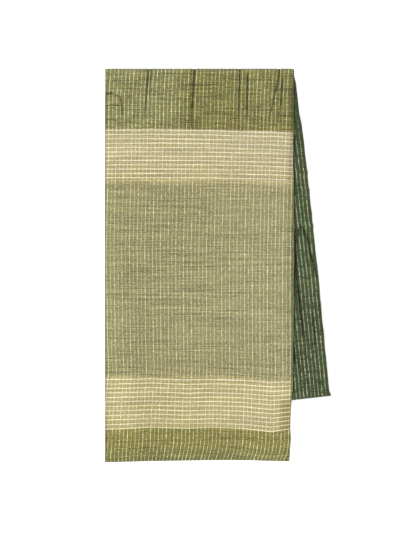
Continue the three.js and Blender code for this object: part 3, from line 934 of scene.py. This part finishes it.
def tube(path, radius):
    """Points and faces of a round thread along a path, closed and pinched at its ends."""
    points, faces = [], []
    path = [Vector(place) for place in path]
    last = len(path) - 1
    for i, here in enumerate(path):
        tangent = (path[min(i + 1, last)] - path[max(i - 1, 0)]).normalized()
        side = tangent.cross(Vector((0, 0, 1)))
        side = side.normalized() if side.length > 0.05 else Vector((1, 0, 0))
        up = side.cross(tangent)
        r = radius * (END_PINCH if i in (0, last) else 1.0)
        for k in range(THREAD_SIDES):
            a = 2 * math.pi * k / THREAD_SIDES
            points.append(tuple(here + side * (r * math.cos(a)) + up * (r * math.sin(a))))
    for i in range(last):
        for k in range(THREAD_SIDES):
            a, b = (i * THREAD_SIDES + j % THREAD_SIDES for j in (k, k + 1))
            faces.append((a, b, b + THREAD_SIDES, a + THREAD_SIDES))
    faces.append(tuple(range(THREAD_SIDES))[::-1])
    faces.append(tuple(range(last * THREAD_SIDES, (last + 1) * THREAD_SIDES)))
    return points, faces


def threads_mesh(name, paths, radius):
    points, faces = [], []
    for path in paths:
        more_points, more_faces = tube(path, radius)
        faces += [tuple(i + len(points) for i in face) for face in more_faces]
        points += more_points
    weave = [(x, y, 0.0) for x, y, _ in points]
    return make_mesh(name, points, faces, weave, sharp=ROUND_SHARP)


def flap_top(x, y):
    """Height of the outer ply's upper side, on the hem."""
    return flap_place(x, y, HEM_MIDS[0] + NESTED_THICK / 2)[2]


def build_hem_stitches():
    """Running stitches that hold the turned-up hem, each with its ends inside the cloth."""
    paths = []
    x, i = FLAP_LEFT + STITCH_FIRST, 0
    while x < STITCH_LAST:
        length = STITCH_LENGTH + 0.5 * ripple(i, 0, 2.3, 1.5)
        slant = 0.25 * ripple(i, 3, 1.7, 9.1)
        path = []
        for t in (0, 0.12, 0.35, 0.65, 0.88, 1):
            px = x + length * t
            py = hem_y(px) + HEM_DEPTH - STITCH_IN + slant * (t - 0.5)
            path.append((px, py, flap_top(px, py) + (0.06 if 0.1 < t < 0.9 else -0.2)))
        paths.append(path)
        x += length + STITCH_GAP + 0.4 * ripple(i, 7, 1.9, 4.2)
        i += 1
    return threads_mesh("hem_stitches", paths, STITCH_RADIUS)


def build_loose_threads():
    paths = []
    for y, length, down, curl in LOOSE_ENDS:
        x, py = strip_plan(1.0, min(share_at(y), 0.996))
        path = []
        for t in spaced(-0.5, 1, 7):
            reach = length * t
            path.append((x - 0.2 + reach * 0.86, py - down * reach + curl * t * reach * 0.4,
                         STRIP_BASE + 0.5 - 0.25 * max(t, 0) * max(reach, 0) + 0.1 * t))
        paths.append(path)
    return threads_mesh("loose_threads", paths, LOOSE_RADIUS)


# ---- values and colours worked out by shader nodes ----

LIGHT = 1.12  # how much brighter than its own colour white shows in this light


def albedo(red, green, blue):
    """Linear surface colour that shows as this sRGB colour (0 to 255) in the scene's light."""
    def linear(c):
        c /= 255
        return c / 12.92 if c <= 0.04045 else ((c + 0.055) / 1.055) ** 2.4
    return tuple(min(linear(c) / LIGHT, 1.0) for c in (red, green, blue)) + (1.0,)


def feed(tree, slot, value):
    """Give an input a number or colour, or wire it to a Value."""
    if isinstance(value, Value):
        tree.links.new(value.socket, slot)
    else:
        slot.default_value = value


def wired(tree, kind, inputs, output=0, **settings):
    """One output of a new node of a kind, with its settings and inputs."""
    node = tree.nodes.new("ShaderNode" + kind)
    for name, setting in settings.items():
        setattr(node, name, setting)
    for slot, value in inputs.items():
        feed(tree, node.inputs[slot], value)
    return Value(tree, node.outputs[output])


class Value:
    """A number or colour worked out by shader nodes. Its operators add Math nodes."""

    def __init__(self, tree, socket):
        self.tree, self.socket = tree, socket

    def math(self, operation, *others):
        return wired(self.tree, "Math", dict(enumerate((self, *others))), operation=operation)

    def __add__(self, other):
        return self.math("ADD", other)

    def __sub__(self, other):
        return self.math("SUBTRACT", other)

    def __mul__(self, other):
        return self.math("MULTIPLY", other)

    def __truediv__(self, other):
        return self.math("DIVIDE", other)

    def opposite(self):
        """1 less this value."""
        return self * -1.0 + 1.0

    def ramped(self, low, high, to_low=0.0, to_high=1.0, smooth=True):
        """to_low at low and to_high at high, with a soft or straight slope between."""
        return wired(self.tree, "MapRange", dict(enumerate((self, low, high, to_low, to_high))),
                     interpolation_type="SMOOTHSTEP" if smooth else "LINEAR")


def noise_at(x, y, seed, detail=2.0, rough=0.5):
    """Smooth noise about 0.5, at a place given by two values in cells."""
    place = wired(x.tree, "CombineXYZ", {0: x, 1: y, 2: seed})
    return wired(x.tree, "TexNoise", {"Vector": place, "Scale": 1.0, "Detail": detail,
                                      "Roughness": rough}, noise_dimensions="3D")


def one_number(index, seed):
    """A number from 0 to 1 that belongs to one stripe or yarn."""
    place = wired(index.tree, "CombineXYZ", {0: index, 1: seed})
    return wired(index.tree, "TexWhiteNoise", {"Vector": place}, "Value", noise_dimensions="2D")


def blend(amount, base, top):
    return wired(amount.tree, "Mix", {0: amount, 6: base, 7: top}, 2, data_type="RGBA")


def laid_over(amount, colour, *srgb):
    """The colour with an amount of another one over it."""
    return blend(amount, colour, albedo(*srgb))


def tinted(amount, colour, *factors):
    """The colour times another one, by an amount."""
    top = wired(colour.tree, "VectorMath", {0: colour, 1: factors}, operation="MULTIPLY")
    return blend(amount, colour, top)


def shade(colour, amount):
    """The colour times a number."""
    return wired(amount.tree, "VectorMath", {0: colour, "Scale": amount}, operation="SCALE")


def lines(x, start, pitch):
    """Distance from the nearest of evenly spaced lines, and that line's number."""
    turns = (x - start) / pitch + 0.5
    index = turns.math("FLOOR")
    return (turns - index - 0.5).math("ABSOLUTE") * pitch, index


# ---- materials ----

YARN = 0.62  # mm from one yarn to the next
ROW = 0.9  # mm from one uneven weft yarn to the next
SPECK = 1.3  # mm across a speck and a streak
MATT = {"Roughness": 0.88, "Specular IOR Level": 0.25, "Sheen Weight": 0.06,
        "Sheen Roughness": 0.6}
RELIEF = 0.0002  # m, height of the weave
# Columns: distance down the flap, colour that the cloth's ground shows there.
FLAP_GROUND = [
    (-66, (76, 85, 58)), (-64, (128, 124, 70)), (60, (128, 125, 71)), (91.9, (126, 122, 67)),
    (92.5, (188, 175, 128)), (128, (190, 176, 130)), (167.6, (184, 168, 117)),
    (168.2, (193, 179, 127)), (172, (187, 174, 122)), (175, (172, 162, 115)),
    (178, (158, 151, 106)), (240, (154, 149, 104)), (400, (156, 151, 106)),
    (467.6, (152, 146, 101)), (468.6, (178, 166, 112)), (472.2, (178, 166, 112)),
    (472.8, (184, 170, 117)), (548.8, (185, 171, 117)), (549.4, (144, 137, 73)),
    (570, (145, 138, 74)), (583, (135, 132, 73)), (592, (132, 129, 74)),
    (595, (122, 121, 70)), (600, (118, 118, 72)),
]
# The same for its cream stripes and lines.
FLAP_LIGHT = [
    (-66, (130, 139, 112)), (-64, (240, 236, 182)), (91.9, (242, 237, 182)),
    (92.5, (255, 249, 215)), (167.6, (255, 248, 211)), (177, (254, 249, 211)),
    (467.6, (254, 249, 208)), (472.8, (255, 249, 212)), (548.8, (255, 248, 208)),
    (549.4, (254, 249, 196)), (600, (254, 249, 200)),
]
ZONES = (-100, 620)  # what both tables lie between
CROSSING = (256, 252, 230)  # where a cream line crosses a cream stripe
# Down the flap: where a kind of cloth has not begun, and where it is fully there.
OLIVE_ENDS, KHAKI_STARTS, KHAKI_ENDS, HEM_STARTS = (92.7, 91.7), (168, 176), (474, 468), (549, 550)
# Warp stripes of the flap: u of the first and their pitch. Every second one is fainter.
FLAP_STRIPES = (3.06, 11.73)
BODY_STRIPES = (0.5, 5.65)
BAR_PITCH = 7.4  # mm from one weft bar of the olive cloth to the next
# Across the flap: where it darkens beside its right side, and where painted shade
# shows the edges of the plies under it through it.
DARKER, OVER_EDGES = (276.5, 280), (284.6, 286)
# Across and down the flap: the end of its lower band that gets painted brown shade.
BAND_END_SHADE_FROM, BAND_END_SHADE_BELOW = (268.5, 273), (492, 508)
# Painted brown shade for the lower band's end, painted grey shade for the far fold's bend, and the
# back of folded-in plies.
BAND_END_SHADE, FAR_FOLD_SHADE, FOLDED_IN = (140, 122, 50), (117, 125, 114), (127, 130, 94)
# Colours of the painted shade in creases, at folds and beside edges.
FLAP_CREASE, BODY_CREASE = (45, 54, 26), (24, 32, 18)
BODY_GROUND, BODY_LIGHT, THREAD = (71, 83, 51), (206, 212, 175), (196, 186, 128)


def zone_ramp(v, stops):
    """Colours along the cloth."""
    low, high = ZONES
    node = v.tree.nodes.new("ShaderNodeValToRGB")
    elements = node.color_ramp.elements
    elements.remove(elements[1])
    for i, (at, colour) in enumerate(stops):
        place = (at - low) / (high - low)
        element = elements[0] if i == 0 else elements.new(place)
        element.position = place
        element.color = albedo(*colour)
    feed(v.tree, node.inputs[0], v.ramped(low, high, smooth=False))
    return Value(v.tree, node.outputs[0])


def start_material(name, settings):
    """A new material and its shader, with these settings."""
    material = bpy.data.materials.new(name)
    material.use_nodes = True
    shader = material.node_tree.nodes["Principled BSDF"]
    for slot, value in settings.items():
        shader.inputs[slot].default_value = value
    return material, shader


def start_cloth(name):
    """A matt cloth material and its shader, then its weave's u, v and ply and its painted shade.
    """
    material, shader = start_material(name, MATT)
    tree = material.node_tree
    weave = wired(tree, "Attribute", {}, "Vector", attribute_name="weave")
    u, v, ply = (wired(tree, "SeparateXYZ", {0: weave}, i) for i in range(3))
    return material, shader, u, v, ply, wired(tree, "Attribute", {}, "Fac", attribute_name="wear")


def yarns(u, v, shader, strength):
    """Plain weave of single yarns, as bump."""
    warp, warp_index = lines(u, 0.0, YARN)
    weft, weft_index = lines(v, 0.0, YARN)
    over = (warp_index + weft_index).math("PINGPONG", 1.0)
    warp_round = (warp / YARN).ramped(0.5, 0.1)
    weft_round = (weft / YARN).ramped(0.5, 0.1)
    height = warp_round * over + weft_round * over.opposite()
    height = height + noise_at(u / 7.0, v / ROW, 21.0, 1.0) * 0.6
    bump = wired(u.tree, "Bump", {"Strength": strength, "Distance": RELIEF, "Height": height})
    feed(u.tree, shader.inputs["Normal"], bump)


def yarn_tones(u, v, seed, rows, grain, columns, row_length=110.0):
    """How far the tone of hand-spun yarn strays from even: weft rows, grain, warp streaks."""
    # Two kinds of row, so that they are as strong all across the cloth.
    row = noise_at(u / row_length, v / ROW, seed, 1.0) - 0.5
    row = row + noise_at(u / row_length + 0.5, v / ROW + 0.5, seed + 7, 1.0) - 0.5
    slub = noise_at(u / 19.0, v / ROW, seed + 1, 2.0, 0.6) - 0.5
    speck = noise_at(u / SPECK, v / 1.0, seed + 2, 1.0) - 0.5
    # Thick and thin places, two yarns wide and high.
    across, along = (((place / YARN + 0.5) * 0.5).math("FLOOR") for place in (u, v))
    nub = one_number(across, along + seed * 1000.0) - 0.5
    streak = noise_at(u / SPECK, v / 32.0, seed + 3) - 0.5
    tones = row * (rows * 0.72) + slub * (rows * 0.3)
    return tones + (speck * 5.0 + nub) * grain + streak * columns


def stripe(u, v, start, pitch, seed, half_width, dimmest, patch):
    """Warp stripes one or two yarns wide, brighter and dimmer along their length."""
    distance, index = lines(u, start, pitch)
    own = one_number(index, seed).ramped(0, 1, 0.8, 1.0, smooth=False)
    dash = noise_at(index * 3.7, v / patch, seed + 1, 1.0).ramped(0.3, 0.62, dimmest, 1.0)
    dot = noise_at(index * 5.3, v / 1.9, seed + 2, 1.0)
    dot = dot.ramped(0.34, 0.6, 0.25 + dimmest * 0.35, 1.0)
    return distance.ramped(half_width, half_width * 0.25) * own * dash * dot


def woven_bands(v):
    """Where the bands' cream weft lines lie, and where each of the two bands does."""
    weft = 0.0
    bands = []
    for first, pitch in (UPPER_LINES, LOWER_LINES):
        last = first + (LINES - 1) * pitch
        band = v.ramped(first - 2.6, first - 1.8) * v.ramped(last + 2.6, last + 1.8)
        weft = lines(v, first, pitch)[0].ramped(1.1, 0.3) * band * 0.87 + weft
        bands.append(band)
    return weft, *bands


def flap_tones(u, v, olive, hem, upper, lower):
    """How light the flap's yarn is, and its lighter and darker places, about 1."""
    # The olive stretches are spun more unevenly, with faint weft bars.
    tones = yarn_tones(u, v, 31.0, 2.1, 0.56, 0.25, olive * -45.0 + 110.0)
    bar = (v * (2 * math.pi / BAR_PITCH) + noise_at(u / 40.0, v / 20.0, 36.0) * 5.0).math("SINE")
    cloud = noise_at(u / 24.0, v / 16.0, 37.0) - 0.5
    tones = tones * (olive * 0.22 - (upper + lower) * 0.4 + 1.0)
    tones = tones + bar * olive * 0.05 + cloud * (olive * 0.45 + 0.1)
    # Lighter to the left in the olive stretch, and to the right in the khaki and the band.
    khaki = v.ramped(*KHAKI_STARTS) * v.ramped(*KHAKI_ENDS)
    tones = tones + u.ramped(125, 90) * olive * 0.13
    tones = tones + u.ramped(60, 230) * (khaki * 0.08 + lower * 0.06)
    tones = tones + u.ramped(190, 250) * v.ramped(330, 440) * hem.opposite() * 0.03
    tones = tones - u.ramped(100, 40) * lower * 0.02
    darker = u.ramped(*DARKER) * (upper * 0.11 + 0.14 - lower * 0.04 - hem * 0.08)
    # Painted shade near the right side, where the edges of the plies under it show through.
    edges = u.ramped(*OVER_EDGES) * v.ramped(92, 100) * v.ramped(520, 490, 0.25, 1.0)
    return tones - darker - edges * 0.26 + 1.0


def flap_hues_and_fold_shade(colour, u, v, olive, hem):
    """Broad hues, yarns of uneven dye, and painted shade where the far fold bends down."""
    colour = tinted(u.ramped(282.5, 286), colour, 1.05, 1.07, 0.96)
    colour = tinted(u.ramped(125, 90) * olive, colour, 1.06, 1.1, 1.36)
    colour = tinted(u.ramped(120, 250), colour, 1.0, 1.0, 1.05)
    yarn = noise_at(u / 34.0, v / 2.6, 39.0, 1.0)
    uneven = olive * 0.6 + hem * 0.35 + 0.12
    colour = tinted(yarn.ramped(0.52, 0.7) * uneven, colour, 1.12, 0.97, 0.72)
    colour = tinted(yarn.ramped(0.48, 0.3) * uneven, colour, 0.93, 1.02, 1.07)
    # Painted shade: where the far fold bends down it is greyer.
    colour = laid_over(v.ramped(4.0, 1.5) * 0.5, colour, *FAR_FOLD_SHADE)
    # Warmer and greener patches, as hand dyeing leaves them.
    hue = noise_at(u / 20.0, v / 13.0, 38.0)
    colour = tinted(hue.ramped(0.5, 0.72) * 0.3, colour, 1.07, 0.98, 0.84)
    return tinted(hue.ramped(0.5, 0.28) * 0.3, colour, 0.93, 1.0, 1.03)


def flap_material():
    material, shader, u, v, ply, wear = start_cloth("flap_cloth")
    # Neither warp nor weft lies quite straight.
    u, v = (u + (noise_at(u / 9.0, v / 24.0, 1.0) - 0.5) * 0.9,
            v + (noise_at(u / 26.0, v / 8.0, 2.0) - 0.5) * 0.9)
    yarns(u, v, shader, 0.35)
    ground, light = zone_ramp(v, FLAP_GROUND), zone_ramp(v, FLAP_LIGHT)
    start, pitch = FLAP_STRIPES
    major = stripe(u, v, start, pitch, 4.0, 0.72, 0.6, 13.0)
    minor = stripe(u, v, start + pitch / 2, pitch, 14.0, 0.68, 0.3, 9.0) * 0.82
    warp = major.math("MAXIMUM", minor)
    weft, upper, lower = woven_bands(v)
    olive, hem = v.ramped(*OLIVE_ENDS), v.ramped(*HEM_STARTS)
    fill = noise_at(u / 5.0, v / 9.0, 13.0).ramped(0.25, 0.6, 0.72, 1.0)
    colour = blend(warp * (hem * 0.14 + 1.0), ground, light)
    colour = blend(weft * fill, colour, light)
    colour = laid_over(weft * warp, colour, *CROSSING)
    colour = shade(colour, flap_tones(u, v, olive, hem, upper, lower))
    # Painted shade: the right end of the lower band is darkened brown between its weft lines.
    band_end_shade = u.ramped(*BAND_END_SHADE_FROM) * v.ramped(*BAND_END_SHADE_BELOW) * lower * weft.opposite()
    colour = laid_over(band_end_shade * fill * 0.62, colour, *BAND_END_SHADE)
    colour = flap_hues_and_fold_shade(colour, u, v, olive, hem)
    # Plies folded in under the outer one show their back, greyer and greener.
    colour = laid_over(ply * 0.75, colour, *FOLDED_IN)
    # Painted shade darkens the bottoms of creases, the folds' edges and the right side.
    feed(u.tree, shader.inputs["Base Color"], laid_over(wear, colour, *FLAP_CREASE))
    return material


def body_material():
    material, shader, u, v, _ply, wear = start_cloth("body_cloth")
    u = u + (noise_at(u / 8.0, v / 26.0, 41.0) - 0.5) * 0.7
    yarns(u, v, shader, 0.4)
    warp = stripe(u, v, *BODY_STRIPES, 44.0, 0.92, 0.26, 10.0) * v.ramped(60, 160, 0.45, 1.0)
    colour = blend(warp, albedo(*BODY_GROUND), albedo(*BODY_LIGHT))
    # Darker towards the far fold, a little lighter in the middle.
    tones = yarn_tones(u, v, 51.0, 2.2, 0.8, 0.45) - v.ramped(160, 100) * 0.12
    tones = tones + v.ramped(190, 240) * v.ramped(350, 300) * 0.07
    broad = noise_at(u / 24.0, v / 40.0, 55.0) - 0.5
    colour = shade(colour, tones + broad * 0.25 + 1.0)
    # Painted shade in the bottoms of creases and beside the flap's edge.
    feed(u.tree, shader.inputs["Base Color"], laid_over(wear, colour, *BODY_CREASE))
    return material


def thread_material():
    """Spun thread with a slanting twist, 0.5 mm from one turn to the next."""
    material, shader, u, v, _ply, _painted_shade = start_cloth("thread")
    strand, _ = lines((u + v * 0.6) / 0.5, 0.0, 1.0)
    colour = shade(albedo(*THREAD)[:3], strand.ramped(0.5, 0.1, 0.8, 1.06))
    feed(u.tree, shader.inputs["Base Color"], colour)
    return material


# ---- floor, light and camera ----

HALF_FLOOR, FLOOR_Z = 4.0, -0.0003  # m
FLOOR_LOOK = {"Base Color": (0.93, 0.93, 0.93, 1), "Roughness": 1.0, "Specular IOR Level": 0.0,
              "Emission Color": (1, 1, 1, 1), "Emission Strength": 0.75}
SKY = 0.45
SUN, SUN_FROM = 2.4, (-1.5, 0.5, 2.2)
SUN_ANGLE = math.radians(14)  # as soft as a large lamp hood
VIEW_FROM = (-0.02753, -0.00236, 6.0)
VIEW_HEIGHT = 0.8127  # m of the cloth that the picture shows, at the height of its top
CLOTH_TOP = 0.014
SENSOR = 36.0


def build_floor():
    """A pale floor that gives off light, so that it shows white."""
    mesh = bpy.data.meshes.new("floor")
    corners = ((-1, -1), (1, -1), (1, 1), (-1, 1))
    mesh.from_pydata([(x * HALF_FLOOR, y * HALF_FLOOR, FLOOR_Z) for x, y in corners],
                     [], [(0, 1, 2, 3)])
    mesh.materials.append(start_material("floor", FLOOR_LOOK)[0])
    floor = bpy.data.objects.new("floor", mesh)
    bpy.context.scene.collection.objects.link(floor)
    return floor


def build_light(scene):
    """A soft sun from the upper left and an even white sky."""
    scene.view_settings.view_transform = "Standard"
    scene.world = bpy.data.worlds.new("studio")
    scene.world.use_nodes = True
    background = scene.world.node_tree.nodes["Background"]
    background.inputs[0].default_value = (1, 1, 1, 1)
    background.inputs[1].default_value = SKY
    data = bpy.data.lights.new("key", "SUN")
    data.energy, data.angle = SUN, SUN_ANGLE
    key = bpy.data.objects.new("key", data)
    key.location = SUN_FROM
    key.rotation_euler = Vector(SUN_FROM).to_track_quat("Z", "Y").to_euler()
    scene.collection.objects.link(key)


def build_camera(scene):
    """Straight above the cloth, as in the photo."""
    data = bpy.data.cameras.new("camera")
    data.sensor_fit = "VERTICAL"
    data.sensor_height = SENSOR
    data.lens = SENSOR * (VIEW_FROM[2] - CLOTH_TOP) / VIEW_HEIGHT
    data.clip_end = 50
    camera = bpy.data.objects.new("camera", data)
    camera.location = VIEW_FROM
    scene.collection.objects.link(camera)
    scene.camera = camera


# ---- the saree ----

flap = build_flap()
strip = build_strip()
pack = build_pack()
stitches = build_hem_stitches()
threads = build_loose_threads()

flap_cloth = flap_material()
body_cloth = body_material()
thread = thread_material()
for piece, material, slot in (
    (flap, flap_cloth, "flap_cloth"),
    (strip, body_cloth, "body_cloth"),
    (pack, body_cloth, "body_cloth"),
    (stitches, thread, "thread"),
    (threads, thread, "thread"),
):
    piece.data.materials.append(material)
    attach(piece, "root")

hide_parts("field_outer_ply", "field_under_plies", "end_outer_ply", "end_under_plies",
            "far_turn")
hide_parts("body_strip")
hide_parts("folded_layers")
build_floor()
build_light(bpy.context.scene)
build_camera(bpy.context.scene)
